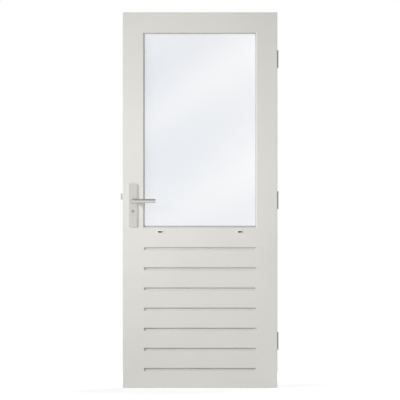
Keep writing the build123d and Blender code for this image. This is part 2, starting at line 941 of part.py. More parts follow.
os.makedirs("parts", exist_ok=True)
for name, shape in all_pieces().items():
    export_step(shape, "parts/" + name + ".step")
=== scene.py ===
import json
import math

import bpy
import numpy as np
from bpy.props import FloatProperty, FloatVectorProperty, IntProperty, PointerProperty
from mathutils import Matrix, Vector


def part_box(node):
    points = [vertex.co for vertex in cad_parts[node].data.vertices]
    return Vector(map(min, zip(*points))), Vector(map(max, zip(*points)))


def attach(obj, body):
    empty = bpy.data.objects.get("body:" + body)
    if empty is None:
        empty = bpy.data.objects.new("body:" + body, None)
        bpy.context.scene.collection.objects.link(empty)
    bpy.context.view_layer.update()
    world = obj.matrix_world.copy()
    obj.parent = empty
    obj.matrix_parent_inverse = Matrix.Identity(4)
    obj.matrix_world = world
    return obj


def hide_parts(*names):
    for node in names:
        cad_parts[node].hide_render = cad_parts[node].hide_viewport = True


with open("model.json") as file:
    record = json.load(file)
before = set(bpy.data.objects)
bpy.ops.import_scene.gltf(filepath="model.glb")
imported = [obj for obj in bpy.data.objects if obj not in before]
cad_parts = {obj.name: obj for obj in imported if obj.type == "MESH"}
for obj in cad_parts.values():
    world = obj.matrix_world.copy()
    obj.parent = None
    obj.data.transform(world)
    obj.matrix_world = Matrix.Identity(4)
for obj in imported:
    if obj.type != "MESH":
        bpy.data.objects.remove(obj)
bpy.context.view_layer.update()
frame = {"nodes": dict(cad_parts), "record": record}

bl_info = {
    "name": "Balcony door",
    "version": (1, 0, 0),
    "blender": (4, 5, 0),
    "location": "View3D > Sidebar > Balcony door",
    "description": "Finishes, levers, screws and studio of a painted wooden balcony door",
    "category": "Object",
}

MM = 0.001
X, Y, Z = range(3)
UP = np.array([0.0, 0.0, 1.0])
EVEN = (1.0, 1.0, 1.0)
WHITE = (1.0, 1.0, 1.0, 1.0)

UPRIGHT_WOOD = ("lock_stile", "hinge_stile", "bead_left", "bead_right")
LEVEL_WOOD = ("top_rail", "mid_rail", "bottom_rail", "lower_panel", "bead_top", "bead_bottom")
HINGES = ("bottom", "middle", "top")
HINGE_PIECES = ("frame_flap", "leaf_flap", "pin")

# Brushed metals: colour among the finishes, brush scales along X, Y and Z, roughness
METALS = {
    "spacer_aluminium": ("spacer", (500.0, 500.0, 500.0), 0.34),
    "lever_aluminium": ("handle", (40.0, 40.0, 900.0), 0.36),
    "plate_aluminium": ("handle", (900.0, 900.0, 30.0), 0.34),
    "spindle_steel": ("steel", (600.0, 20.0, 600.0), 0.36),
    "lock_zinc": ("steel", (90.0, 90.0, 90.0), 0.42),
    "forend_steel": ("forend", (900.0, 900.0, 24.0), 0.32),
    "bolt_nickel": ("bolt", (24.0, 700.0, 700.0), 0.22),
    "cylinder_nickel": ("cylinder", (700.0, 24.0, 700.0), 0.3),
    "plug_nickel": ("plug", (700.0, 24.0, 700.0), 0.3),
    "screw_zinc": ("steel", (300.0, 300.0, 300.0), 0.34),
    "screw_head_zinc": ("steel", (420.0, 420.0, 420.0), 0.3),
    "hinge_steel": ("hinge", (800.0, 800.0, 30.0), 0.33),
    "bearing_steel": ("bearing", (30.0, 30.0, 900.0), 0.24),
}

# Moulded plastics and rubbers: colour among the finishes, roughness
MOULDINGS = {
    "gasket_rubber": ("gasket", 0.62),
    "edge_seal_rubber": ("edge_seal", 0.7),
    "block_plastic": ("setting_block", 0.5),
    "drain_plastic": ("drain", 0.42),
    "bush_plastic": ("bush", 0.4),
}

# Noise: its roughness, the range that holds nearly all of it, and the detail of even patterns
NOISE_ROUGHNESS = 0.55
NOISE_RANGE = (0.3, 0.7)
EVEN_DETAIL = 2.0

# Satin paint: scales of the grain, the spray's mist and the clouds of tone, and what each adds
UPRIGHT_GRAIN = (150.0, 150.0, 4.0)
LEVEL_GRAIN = (4.0, 150.0, 150.0)
GRAIN_DETAIL = 4.0
MIST_SCALE = 620.0
PAINT_CLOUD_SCALE = 2.3
PAINT_TONES = (0.975, 1.02)
PAINT_ROUGHNESS = (0.46, 0.56)
GRAIN_TONE_SHARE = 0.25
MIST_RELIEF_SHARE = 0.35

# Brushed metal
BRUSH_DETAIL = 5.0
BRUSH_TONES = (0.94, 1.05)
BRUSH_SMOOTHER, BRUSH_ROUGHER = 0.05, 0.07
BRUSH_RELIEF = 0.00003

# Moulded plastic and rubber
MOULD_GRAIN_SCALE = 900.0
MOULD_CLOUD_SCALE = 40.0
MOULD_TONES = (0.94, 1.05)
MOULD_ROUGHNESS_SPAN = 0.06
MOULD_RELIEF = 0.00006

# Glass, and the slanting bands of its veil, which are a painted reflection. At a scale of 1 the wave texture
# has this many bands to a metre.
GLASS_ROUGHNESS = 0.03
GLASS_IOR = 1.5
BANDS_PER_METRE = 20.0 / (2 * math.pi)
BAND_DISTORTION = 2.0
BAND_DETAIL = 1.0
BAND_DETAIL_SCALE = 2.0
BAND_PHASE = 0.73
REFLECTION_BAND_RANGE = (0.42, 0.58)
# The veil thins towards the hinge side. This is a painted reflection that makes the glass lighter there.
REFLECTION_FALL_PER_METRE = -0.35
VEIL_SHARES = (0.4, 1.6)

# Rings along a lever
NECK_RINGS = 6
BEND_RINGS = 24
GRIP_RINGS = 12
TIP_RINGS = 8

# Screw heads, as shares of the head's radius, its rise, its skirt, and the cross's half width and reach
FACE_RING_SHARES = np.array([0.0, 0.08, 0.14, 0.2, 0.28, 0.36, 0.44, 0.52, 0.58, 0.64, 0.72, 0.84, 0.95])
DOME_FALL_SHARE = 0.4
RIM_RING_SHARES = np.array([1.0, 0.98, 0.6, 0.0])
RIM_RISE_SHARES = np.array([0.35, 0.0, 0.0, 0.0])
RIM_SKIRT_SHARES = np.array([0.0, 0.3, 1.0, 1.0])
CROSS_HALF_SHARE = 0.13
CROSS_REACH_SHARE = 0.58
CROSS_SIDE_SHARE = 0.5
CROSS_END_SHARE = 0.3

# Studio: heights of the view between which the walls turn to ceiling, and the camera's sensor and far limit
WALL_TO_CEILING = (0.4, 0.85)
SENSOR_WIDTH_MM = 36.0
CAMERA_FAR_LIMIT = 100.0


def colour_property(name, description, default):
    """Colour that a user can change."""
    return FloatVectorProperty(
        name=name, description=description, subtype="COLOR", size=3, min=0.0, max=1.0, default=default,
    )


def share_property(name, description, default):
    """Share from 0 to 1 that a user can change."""
    return FloatProperty(
        name=name, description=description, subtype="FACTOR", min=0.0, max=1.0, default=default,
    )


def length_property(name, description, default, smallest=0.0):
    """Length in metres that a user can change."""
    return FloatProperty(
        name=name, description=description, subtype="DISTANCE", unit="LENGTH", min=smallest, default=default,
    )


def place_property(name, description, default):
    """Point in metres that a user can change."""
    return FloatVectorProperty(
        name=name, description=description, subtype="TRANSLATION", unit="LENGTH", size=3, default=default,
    )


def angle_property(name, description, degrees):
    """Angle that a user can change."""
    return FloatProperty(
        name=name, description=description, subtype="ANGLE", unit="ROTATION", default=math.radians(degrees),
    )


def strength_property(name, description, default):
    """Strength of a light that has no unit."""
    return FloatProperty(name=name, description=description, min=0.0, default=default)


def power_property(name, description, default):
    """Power of a lamp in watts."""
    return FloatProperty(name=name, description=description, unit="POWER", min=0.0, default=default)


class DoorFinishes(bpy.types.PropertyGroup):
    """Colours and surface detail of the door."""

    paint: colour_property("Paint", "Colour of the satin paint on the woodwork", (0.706, 0.697, 0.664))
    grain_depth: length_property("Grain depth", "How far the grain shows through the paint", 0.00016)
    glass_tint: colour_property("Glass tint", "Colour of the faint veil on the panes", (0.42, 0.485, 0.585))
    glass_veil: share_property("Glass veil", "Share of the light that a pane's veil takes", 0.07)
    # The veil's bands are a painted reflection on the panes
    reflection_band_slant: angle_property("Band slant", "Rise of the veil's bands towards the hinge side", 28.0)
    reflection_band_spacing: length_property("Band spacing", "From one band of the veil to the next", 0.49, 0.05)
    gasket: colour_property("Gasket", "Colour of the glazing gaskets", (0.45, 0.45, 0.445))
    edge_seal: colour_property("Edge seal", "Colour of the seal round the glass unit", (0.03, 0.03, 0.03))
    setting_block: colour_property("Setting blocks", "Colour of the blocks under the glass", (0.1, 0.1, 0.1))
    spacer: colour_property("Spacer", "Colour of the spacer bar between the panes", (0.66, 0.67, 0.68))
    drain: colour_property("Drain plastic", "Colour of the drain inserts", (0.80, 0.795, 0.77))
    # Painted shade: the grey that the drain inserts are painted inside their slots
    drain_slot_shade: share_property("Drain slot", "Grey of the drain inserts inside their slots", 0.12)
    handle: colour_property("Handle metal", "Colour of the anodised plates and levers", (0.67, 0.665, 0.645))
    bush: colour_property("Bush plastic", "Colour of the bushes that the levers run in", (0.42, 0.42, 0.41))
    steel: colour_property("Steel", "Colour of the plated steel pieces", (0.54, 0.54, 0.55))
    forend: colour_property("Forend", "Colour of the lock's forend", (0.5, 0.5, 0.495))
    bolt: colour_property("Bolts", "Colour of the latch bolt and the deadbolt", (0.62, 0.61, 0.59))
    cylinder: colour_property("Cylinder", "Colour of the profile cylinder's body", (0.66, 0.65, 0.62))
    plug: colour_property("Plugs", "Colour of the profile cylinder's plugs", (0.42, 0.41, 0.39))
    # Painted shade: the grey that the plugs are painted inside their keyways
    keyway: share_property("Keyway", "Grey of the plugs inside their keyways", 0.012)
    hinge: colour_property("Hinges", "Colour of the hinge flaps and pins", (0.63, 0.63, 0.625))
    bearing: colour_property("Bearings", "Colour of the hinges' bearing rings", (0.42, 0.42, 0.43))


class DoorFittings(bpy.types.PropertyGroup):
    """Sizes of the levers, the screws, and the depths at which painted shade starts inside small openings.
    """

    lever_tip_round: length_property("Lever tip round", "Radius of the lever's rounded end", 0.003, 0.0005)
    lever_bend: length_property(
        "Lever bend", "Radius of the lever's bend at the middle of the bar", 0.017, 0.011,
    )
    screw_head_radius: length_property(
        "Screw head radius", "Radius of the countersunk heads on the edges", 0.0045, 0.001,
    )
    screw_head_rise: length_property("Screw head rise", "How far a head stands proud of its plate", 0.0002)
    screw_cross_depth: length_property("Screw cross depth", "Depth of the cross in a screw head", 0.0016)
    screw_skirt: length_property("Screw skirt", "How far a head reaches down into its plate", 0.0022)
    flap_thickness: length_property("Flap thickness", "Thickness of the hinges' leaf flaps", 0.003)
    forend_screw_inset: length_property("Forend screw inset", "From a forend's end to its screw", 0.0175)
    bolt_face_share: share_property("Bolt face share", "Radius of a plate bolt's face in its head", 0.96)
    # Depths at which the painted shade starts inside the drain slots and the plugs' keyways
    drain_shade_lip: length_property("Drain lip", "Depth at which a drain's slot turns dark", 0.001)
    plug_shade_lip: length_property("Plug lip", "Depth at which a plug's keyway turns dark", 0.0006)
    round_steps: IntProperty(
        name="Round steps", description="Number of faces round a bar or a screw head", min=12, default=64,
    )


class DoorStudio(bpy.types.PropertyGroup):
    """Camera, lamps and floor."""

    picture_width: length_property(
        "Picture width", "Width that the camera sees at the door's outside face", 2.147, 0.1,
    )
    camera_distance: length_property(
        "Camera distance", "Distance from the camera to the door's outside face", 30.0, 1.0,
    )
    camera_height: length_property("Camera height", "Height of the camera above the floor", 1.0078)
    lamp_target: place_property("Lamp target", "Where the key and back lamps point", (0.0, 0.0, 1.0))
    key_strength: strength_property("Key strength", "Strength of the even light from the upper left", 2.02)
    key_angle: angle_property("Key angle", "Angle across the even light, which softens its shadows", 10.0)
    key_place: place_property("Key place", "Where the even light comes from", (-6.25, -5.0, 3.75))
    front_power: power_property("Front power", "Power of the soft lamp in front", 13.4)
    front_size: length_property("Front size", "Side of the soft lamp in front", 0.4)
    front_place: place_property("Front place", "Place of the soft lamp in front", (-0.5, -1.67, 1.08))
    front_target: place_property("Front target", "Where the soft lamp in front points", (-0.15, 0.0, 1.7))
    back_power: power_property("Back power", "Power of the soft lamp behind", 130.0)
    back_size: length_property("Back size", "Side of the soft lamp behind", 1.6)
    back_place: place_property("Back place", "Place of the soft lamp behind", (1.6, 3.6, 2.2))
    ambient: strength_property("Ambient", "Strength of the light from all round", 0.14)
    ceiling: share_property("Ceiling", "Brightness of the ceiling in reflections, where walls are 1", 0.25)
    floor_reach: length_property("Floor reach", "Half the side of the floor", 14.0)
    floor_drop: length_property("Floor drop", "Gap between the door's foot and the floor", 0.001)
    floor_tone: share_property("Floor tone", "Grey of the floor under the lamps", 0.8)
    floor_near: length_property("Floor near", "Distance at which the floor's shadow starts to fade", 0.8)
    floor_far: length_property("Floor far", "Distance from which the floor is plain white", 3.0)
    floor_glow: strength_property("Floor glow", "Strength of the floor's own white near the door", 1.87)
    floor_glow_share: share_property("Floor glow share", "Share of that white near the door", 0.35)


def node(tree, kind, **values):
    """New node with its input sockets set by name."""
    made = tree.nodes.new(kind)
    for name, value in values.items():
        made.inputs[name.replace("_", " ")].default_value = value
    return made


def cleared_tree(owner, output_kind):
    """Node tree of a material or world with an output alone, as (tree, surface socket)."""
    owner.use_nodes = True
    tree = owner.node_tree
    tree.nodes.clear()
    return tree, tree.nodes.new(output_kind).inputs["Surface"]


def new_material(name):
    """Material with one Principled shader, as (material, tree, shader)."""
    material = bpy.data.materials.new(name)
    tree, surface = cleared_tree(material, "ShaderNodeOutputMaterial")
    shader = tree.nodes.new("ShaderNodeBsdfPrincipled")
    tree.links.new(shader.outputs["BSDF"], surface)
    return material, tree, shader


def own_place(tree):
    """The object's own coordinates."""
    return tree.nodes.new("ShaderNodeTexCoord").outputs["Object"]


def along_axis(tree, vector, axis):
    """One axis of a vector."""
    split = tree.nodes.new("ShaderNodeSeparateXYZ")
    tree.links.new(vector, split.inputs[0])
    return split.outputs[axis]


def arithmetic(tree, operation, *terms):
    """Result of a Math node whose terms are sockets or plain numbers."""
    made = tree.nodes.new("ShaderNodeMath")
    made.operation = operation
    for socket, term in zip(made.inputs, terms):
        if isinstance(term, bpy.types.NodeSocket):
            tree.links.new(term, socket)
        else:
            socket.default_value = term
    return made.outputs[0]


def added(tree, first, second, share):
    """First plus a share of second."""
    return arithmetic(tree, "MULTIPLY_ADD", second, share, first)


def ranged(tree, source, start, end, low, high):
    """Value that runs from low to high as the source goes from start to end."""
    made = tree.nodes.new("ShaderNodeMapRange")
    for name, value in (("From Min", start), ("From Max", end), ("To Min", low), ("To Max", high)):
        made.inputs[name].default_value = value
    tree.links.new(source, made.inputs["Value"])
    return made.outputs["Result"]


def spread(tree, source, low, high):
    """Value that runs from low to high over the middle of a noise's range."""
    return ranged(tree, source, *NOISE_RANGE, low, high)


def pattern(tree, stretch, scale, detail):
    """Noise on the object's own coordinates, stretched along its axes."""
    mapping = node(tree, "ShaderNodeMapping", Scale=stretch)
    noise = node(tree, "ShaderNodeTexNoise", Scale=scale, Detail=detail, Roughness=NOISE_ROUGHNESS)
    tree.links.new(own_place(tree), mapping.inputs["Vector"])
    tree.links.new(mapping.outputs["Vector"], noise.inputs["Vector"])
    return noise.outputs["Fac"]


def colour_mix(tree, factor):
    """Node that mixes two colours by a factor."""
    mix = tree.nodes.new("ShaderNodeMix")
    mix.data_type = "RGBA"
    tree.links.new(factor, mix.inputs["Factor"])
    return mix


def tinted(tree, source, colour, tones):
    """Colour scaled from the low tone to the high one by the source."""
    low, high = tones
    mix = colour_mix(tree, spread(tree, source, 0.0, 1.0))
    mix.inputs["A"].default_value = (*[channel * low for channel in colour], 1.0)
    mix.inputs["B"].default_value = (*[min(channel * high, 1.0) for channel in colour], 1.0)
    return mix.outputs["Result"]


def bumped(tree, shader, source, depth):
    """Relief of the given depth on the shader."""
    bump = node(tree, "ShaderNodeBump", Distance=depth, Strength=1.0)
    tree.links.new(source, bump.inputs["Height"])
    tree.links.new(bump.outputs["Normal"], shader.inputs["Normal"])


def mixed(tree, factor, first, second):
    """Shader between two others."""
    mix = tree.nodes.new("ShaderNodeMixShader")
    for socket, source in zip(mix.inputs, (factor, first, second)):
        tree.links.new(source, socket)
    return mix.outputs[0]


def satin_paint(name, colour, along, depth):
    """Sprayed satin paint whose grain shows faintly along one axis."""
    material, tree, shader = new_material(name)
    grain = pattern(tree, along, 1.0, GRAIN_DETAIL)
    mist = pattern(tree, EVEN, MIST_SCALE, EVEN_DETAIL)
    cloud = pattern(tree, EVEN, PAINT_CLOUD_SCALE, EVEN_DETAIL)
    tone = added(tree, cloud, grain, GRAIN_TONE_SHARE)
    tree.links.new(tinted(tree, tone, colour, PAINT_TONES), shader.inputs["Base Color"])
    tree.links.new(spread(tree, grain, *PAINT_ROUGHNESS), shader.inputs["Roughness"])
    bumped(tree, shader, added(tree, grain, mist, MIST_RELIEF_SHARE), depth)
    return material


def brushed_metal(name, finishes):
    """Metal with fine brush lines along one axis, as its row in METALS says."""
    colour_name, brush, rough = METALS[name]
    material, tree, shader = new_material(name)
    lines = pattern(tree, brush, 1.0, BRUSH_DETAIL)
    shader.inputs["Metallic"].default_value = 1.0
    colour = getattr(finishes, colour_name)
    tree.links.new(tinted(tree, lines, colour, BRUSH_TONES), shader.inputs["Base Color"])
    tree.links.new(
        spread(tree, lines, rough - BRUSH_SMOOTHER, rough + BRUSH_ROUGHER), shader.inputs["Roughness"],
    )
    bumped(tree, shader, lines, BRUSH_RELIEF)
    return material


def moulded(name, finishes):
    """Plastic or rubber with a fine even grain, as its row in MOULDINGS says."""
    colour_name, rough = MOULDINGS[name]
    material, tree, shader = new_material(name)
    fine = pattern(tree, EVEN, MOULD_GRAIN_SCALE, EVEN_DETAIL)
    cloud = pattern(tree, EVEN, MOULD_CLOUD_SCALE, EVEN_DETAIL)
    colour = getattr(finishes, colour_name)
    tree.links.new(tinted(tree, cloud, colour, MOULD_TONES), shader.inputs["Base Color"])
    tree.links.new(
        spread(tree, fine, rough - MOULD_ROUGHNESS_SPAN, rough + MOULD_ROUGHNESS_SPAN),
        shader.inputs["Roughness"],
    )
    bumped(tree, shader, fine, MOULD_RELIEF)
    return material


def paint_shade_inside(material, low, high, grey):
    """Paints shade into a material: a dark grey where the object's own Y lies between low and high, inside a
    slot or keyway.
    """
    tree = material.node_tree
    base = next(n for n in tree.nodes if n.type == "BSDF_PRINCIPLED").inputs["Base Color"]
    inside = arithmetic(
        tree, "COMPARE", along_axis(tree, own_place(tree), Y), (low + high) / 2, (high - low) / 2,
    )
    dark = colour_mix(tree, inside)
    dark.inputs["B"].default_value = (grey, grey, grey, 1.0)
    tree.links.new(base.links[0].from_socket, dark.inputs["A"])
    tree.links.new(dark.outputs["Result"], base)


def float_glass(name, finishes):
    """Clear pane with a faint tinted veil, which lets the lamps through. The veil's slanting bands, and its
    thinning towards the hinge side, are a painted reflection.
    """
    material = bpy.data.materials.new(name)
    tree, surface = cleared_tree(material, "ShaderNodeOutputMaterial")
    pane = node(
        tree, "ShaderNodeBsdfPrincipled",
        Base_Color=(*finishes.glass_tint, 1.0), Roughness=GLASS_ROUGHNESS, IOR=GLASS_IOR,
    ).outputs["BSDF"]
    clear = node(tree, "ShaderNodeBsdfTransparent", Color=WHITE).outputs[0]
    place = own_place(tree)
    turned = node(tree, "ShaderNodeMapping", Rotation=(0.0, finishes.reflection_band_slant, 0.0))
    wave = node(
        tree, "ShaderNodeTexWave",
        Scale=1.0 / (BANDS_PER_METRE * finishes.reflection_band_spacing), Distortion=BAND_DISTORTION,
        Detail=BAND_DETAIL, Detail_Scale=BAND_DETAIL_SCALE, Phase_Offset=BAND_PHASE,
    )
    wave.bands_direction = "Z"
    tree.links.new(place, turned.inputs["Vector"])
    tree.links.new(turned.outputs["Vector"], wave.inputs["Vector"])
    # Painted reflection: the veil's share follows slanting bands and falls towards the hinge side
    bands = ranged(tree, wave.outputs["Fac"], 0.0, 1.0, *REFLECTION_BAND_RANGE)
    bands = added(tree, bands, along_axis(tree, place, X), REFLECTION_FALL_PER_METRE)
    veil = spread(tree, bands, *[share * finishes.glass_veil for share in VEIL_SHARES])
    veiled = mixed(tree, veil, clear, pane)
    path = tree.nodes.new("ShaderNodeLightPath")
    tree.links.new(mixed(tree, path.outputs["Is Shadow Ray"], veiled, clear), surface)
    return material


def finish_nodes(material, *names):
    """Gives CAD nodes their material."""
    for name in names:
        mesh = frame["nodes"][name].data
        mesh.materials.clear()
        mesh.materials.append(material)


def ring_surface(rings):
    """Closed surface from an array of rings (stations, steps, 3), as (points, quads, triangles).

    The first and last rings are points. Each quad joins a step to the next on two neighbouring rings, and
    each end ring becomes one pole vertex.
    """
    stations, steps, _ = rings.shape
    points = np.vstack([rings[0, :1], rings[1:-1].reshape(-1, 3), rings[-1, :1]])
    index = 1 + np.arange((stations - 2) * steps).reshape(stations - 2, steps)
    after = np.roll(index, -1, axis=1)
    quads = np.stack([index[:-1], after[:-1], after[1:], index[1:]], axis=-1).reshape(-1, 4)
    last = np.full(steps, len(points) - 1)
    start = np.stack([np.zeros(steps, int), after[0], index[0]], axis=-1)
    end = np.stack([last, index[-1], after[-1]], axis=-1)
    return points, quads, np.vstack([start, end])


def surface_object(name, surfaces, material):
    """One smooth object from several closed surfaces, each turned outwards by the sign of its volume."""
    points, faces, offset = [], [], 0
    for own_points, quads, triangles in surfaces:
        corners = np.vstack([triangles, quads[:, [0, 1, 2]], quads[:, [0, 2, 3]]])
        a, b, c = (own_points[corners[:, k]] for k in range(3))
        outward = np.einsum("ij,ij->i", a, np.cross(b, c)).sum() > 0
        turn = slice(None) if outward else slice(None, None, -1)
        faces += (quads[:, turn] + offset).tolist() + (triangles[:, turn] + offset).tolist()
        points.append(own_points)
        offset += len(own_points)
    mesh = bpy.data.meshes.new(name)
    mesh.from_pydata(np.vstack(points).tolist(), [], faces)
    mesh.polygons.foreach_set("use_smooth", np.ones(len(mesh.polygons), bool))
    mesh.materials.append(material)
    mesh.update()
    piece = bpy.data.objects.new(name, mesh)
    bpy.context.scene.collection.objects.link(piece)
    return piece


def lever_surface(node_name, side, bend, tip_round, steps):
    """Round bar that leaves the plate along Y and turns along +X through a quarter circle.

    The centre line is a straight neck, an arc of the bend radius and a straight grip. The ring radius is the
    bar's radius, except at the tip, where it follows a quarter circle of the tip radius, and at both end
    poles.
    """
    low, high = (np.array(corner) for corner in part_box(node_name))
    radius = (high[Z] - low[Z]) / 2
    axis_x, axis_z, tip_x = low[X] + radius, (low[Z] + high[Z]) / 2, high[X]
    foot_y, reach_y = (high[Y], low[Y] + radius) if side < 0 else (low[Y], high[Y] - radius)
    corner_y = reach_y - side * bend
    turn = np.linspace(0.0, np.pi / 2, BEND_RINGS)[1:]
    fall = np.linspace(0.0, np.pi / 2, TIP_RINGS + 1)[1:]
    neck_y = np.linspace(foot_y, corner_y, NECK_RINGS)
    grip_x = np.linspace(axis_x + bend, tip_x - tip_round, GRIP_RINGS)[1:]
    tip_end_x = tip_x - tip_round + tip_round * np.sin(fall)
    neck = np.column_stack([np.full_like(neck_y, axis_x), neck_y])
    arc = np.column_stack([axis_x + bend * (1 - np.cos(turn)), corner_y + side * bend * np.sin(turn)])
    grip = np.column_stack([grip_x, np.full_like(grip_x, reach_y)])
    tip = np.column_stack([tip_end_x, np.full_like(tip_end_x, reach_y)])
    line = np.vstack([neck[:1], neck, arc, grip, tip, tip[-1:]])
    heading = np.concatenate([np.zeros(1 + len(neck)), turn, np.full(len(grip) + len(tip) + 1, np.pi / 2)])
    full = np.full(len(neck) + len(arc) + len(grip), radius)
    bar = np.concatenate([[0.0], full, radius - tip_round * (1 - np.cos(fall)), [0.0]])
    across = np.column_stack([np.cos(heading), -side * np.sin(heading), np.zeros_like(heading)])
    around = np.linspace(0.0, 2 * np.pi, steps, endpoint=False)
    centre = np.column_stack([line, np.full(len(line), axis_z)])
    ring = np.cos(around)[None, :, None] * across[:, None, :] + np.sin(around)[None, :, None] * UP
    return ring_surface(centre[:, None, :] + bar[:, None, None] * ring)


def screw_head_surface(centre, outward, radius, sizes):
    """Countersunk head whose face carries a cross.

    Over the face the height is the rise of a shallow dome less the cross, which falls smoothly inside two
    bars at right angles. Past the rim the profile drops to the skirt and closes at a pole below it.
    """
    rise, skirt, steps = sizes.screw_head_rise, sizes.screw_skirt, sizes.round_steps
    outward = np.array(outward)
    side = np.cross(outward, UP)
    up = np.cross(side, outward)
    around = np.linspace(0.0, 2 * np.pi, steps, endpoint=False)
    ring_radius = radius * np.concatenate([FACE_RING_SHARES, RIM_RING_SHARES])[:, None]
    along, across = ring_radius * np.cos(around), ring_radius * np.sin(around)
    half, reach = CROSS_HALF_SHARE * radius, CROSS_REACH_SHARE * radius

    def bar(u, v):
        wide = np.clip((half - np.abs(v)) / (CROSS_SIDE_SHARE * half) + 0.5, 0.0, 1.0)
        long = np.clip((reach - np.abs(u)) / (CROSS_END_SHARE * reach), 0.0, 1.0)
        return wide * long

    face = len(FACE_RING_SHARES)
    cross = np.maximum(bar(along[:face], across[:face]), bar(across[:face], along[:face]))
    dome = rise * (1 - DOME_FALL_SHARE * FACE_RING_SHARES[:, None] ** 2)
    rim = rise * RIM_RISE_SHARES - skirt * RIM_SKIRT_SHARES
    height = np.vstack([dome - sizes.screw_cross_depth * cross, np.repeat(rim[:, None], steps, axis=1)])
    rings = along[..., None] * side + across[..., None] * up + height[..., None] * outward
    return ring_surface(np.array(centre) + rings)


class BALCONYDOOR_OT_woodwork(bpy.types.Operator):
    """Paint the stiles, rails, panel and beads"""

    bl_idname = "balcony_door.woodwork"
    bl_label = "Woodwork"

    def execute(self, context):
        finishes = context.scene.balcony_door_finishes
        for name, grain, pieces in (
            ("paint_upright_grain", UPRIGHT_GRAIN, UPRIGHT_WOOD),
            ("paint_level_grain", LEVEL_GRAIN, LEVEL_WOOD),
        ):
            finish_nodes(satin_paint(name, finishes.paint, grain, finishes.grain_depth), *pieces)
        return {"FINISHED"}


class BALCONYDOOR_OT_glazing(bpy.types.Operator):
    """Finish the panes, spacer, seal, gaskets and setting blocks"""

    bl_idname = "balcony_door.glazing"
    bl_label = "Glazing"

    def execute(self, context):
        finishes = context.scene.balcony_door_finishes
        finish_nodes(float_glass("float_glass", finishes), "outer_pane", "inner_pane")
        finish_nodes(moulded("gasket_rubber", finishes), "outer_gasket", "inner_gasket")
        finish_nodes(moulded("edge_seal_rubber", finishes), "edge_seal")
        finish_nodes(moulded("block_plastic", finishes), "setting_blocks")
        finish_nodes(brushed_metal("spacer_aluminium", finishes), "spacer_bar")
        return {"FINISHED"}


class BALCONYDOOR_OT_drains(bpy.types.Operator):
    """Finish the two drain inserts, with painted shade inside their slots"""

    bl_idname = "balcony_door.drains"
    bl_label = "Drain inserts"

    def execute(self, context):
        finishes = context.scene.balcony_door_finishes
        lip = context.scene.balcony_door_fittings.drain_shade_lip
        plastic = moulded("drain_plastic", finishes)
        rail_face, drain_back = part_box("mid_rail")[0][Y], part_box("drain_inserts")[1][Y]
        # Painted shade inside the drain slots
        paint_shade_inside(plastic, rail_face + lip, drain_back + lip, finishes.drain_slot_shade)
        finish_nodes(plastic, "drain_inserts")
        return {"FINISHED"}


class BALCONYDOOR_OT_levers(bpy.types.Operator):
    """Make the two round-bar levers"""

    bl_idname = "balcony_door.levers"
    bl_label = "Levers"

    def execute(self, context):
        sizes = context.scene.balcony_door_fittings
        metal = brushed_metal("lever_aluminium", context.scene.balcony_door_finishes)
        for name, side in (("outside_lever", -1.0), ("inside_lever", 1.0)):
            surface = lever_surface(name, side, sizes.lever_bend, sizes.lever_tip_round, sizes.round_steps)
            piece = surface_object(name + "_bar", [surface], metal)
            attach(piece, "lever_set")
            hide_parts(name)
        return {"FINISHED"}


class BALCONYDOOR_OT_handle_plates(bpy.types.Operator):
    """Finish the plates, bushes, spindle and grub screws"""

    bl_idname = "balcony_door.handle_plates"
    bl_label = "Handle plates"

    def execute(self, context):
        finishes = context.scene.balcony_door_finishes
        finish_nodes(brushed_metal("plate_aluminium", finishes), "outside_plate", "inside_plate")
        finish_nodes(moulded("bush_plastic", finishes), "outside_bush", "inside_bush")
        finish_nodes(brushed_metal("spindle_steel", finishes), "spindle", "grub_screws")
        return {"FINISHED"}


class BALCONYDOOR_OT_lock(bpy.types.Operator):
    """Finish the lock, its forend and bolts, and the profile cylinder, with painted shade in the plugs'
    keyways
    """

    bl_idname = "balcony_door.lock"
    bl_label = "Lock"

    def execute(self, context):
        finishes = context.scene.balcony_door_finishes
        lip = context.scene.balcony_door_fittings.plug_shade_lip
        zinc = brushed_metal("lock_zinc", finishes)
        finish_nodes(zinc, "lock_case", "lock_cover", "follower", "cam")
        finish_nodes(brushed_metal("forend_steel", finishes), "forend")
        finish_nodes(brushed_metal("bolt_nickel", finishes), "latch_bolt", "deadbolt")
        finish_nodes(brushed_metal("cylinder_nickel", finishes), "cylinder_body")
        plug = brushed_metal("plug_nickel", finishes)
        outside_face, inside_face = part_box("outer_plug")[0][Y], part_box("inner_plug")[1][Y]
        # Painted shade inside the plugs' keyways
        paint_shade_inside(plug, outside_face + lip, inside_face - lip, finishes.keyway)
        finish_nodes(plug, "outer_plug", "inner_plug")
        finish_nodes(brushed_metal("screw_zinc", finishes), "cylinder_screw")
        return {"FINISHED"}


class BALCONYDOOR_OT_hinges(bpy.types.Operator):
    """Finish the three hinges and their bearing rings"""

    bl_idname = "balcony_door.hinges"
    bl_label = "Hinges"

    def execute(self, context):
        finishes = context.scene.balcony_door_finishes
        pieces = [f"hinge_{name}_{piece}" for name in HINGES for piece in HINGE_PIECES]
        finish_nodes(brushed_metal("hinge_steel", finishes), *pieces)
        finish_nodes(brushed_metal("bearing_steel", finishes), "hinge_bearings")
        return {"FINISHED"}


def hinge_screw_places(flap_thickness):
    """Middles of the screws on the faces of the leaf flaps, opposite the holes of the frame flaps."""
    mounts = {mount["name"]: mount for mount in frame["record"]["mounts"]}
    places = []
    for name in HINGES:
        mount = mounts[f"hinge_{name}_screws"]
        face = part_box(f"hinge_{name}_leaf_flap")[0][X] + flap_thickness
        half_y, half_z = (mount["dims"][key] * MM / 2 for key in ("spacing_x_mm", "spacing_y_mm"))
        _, middle_y, middle_z = mount["pos_m"]
        places += [
            (face, middle_y + column * half_y, middle_z + row * half_z)
            for column in (-1, 1)
            for row in (-1, 1)
        ]
    return places


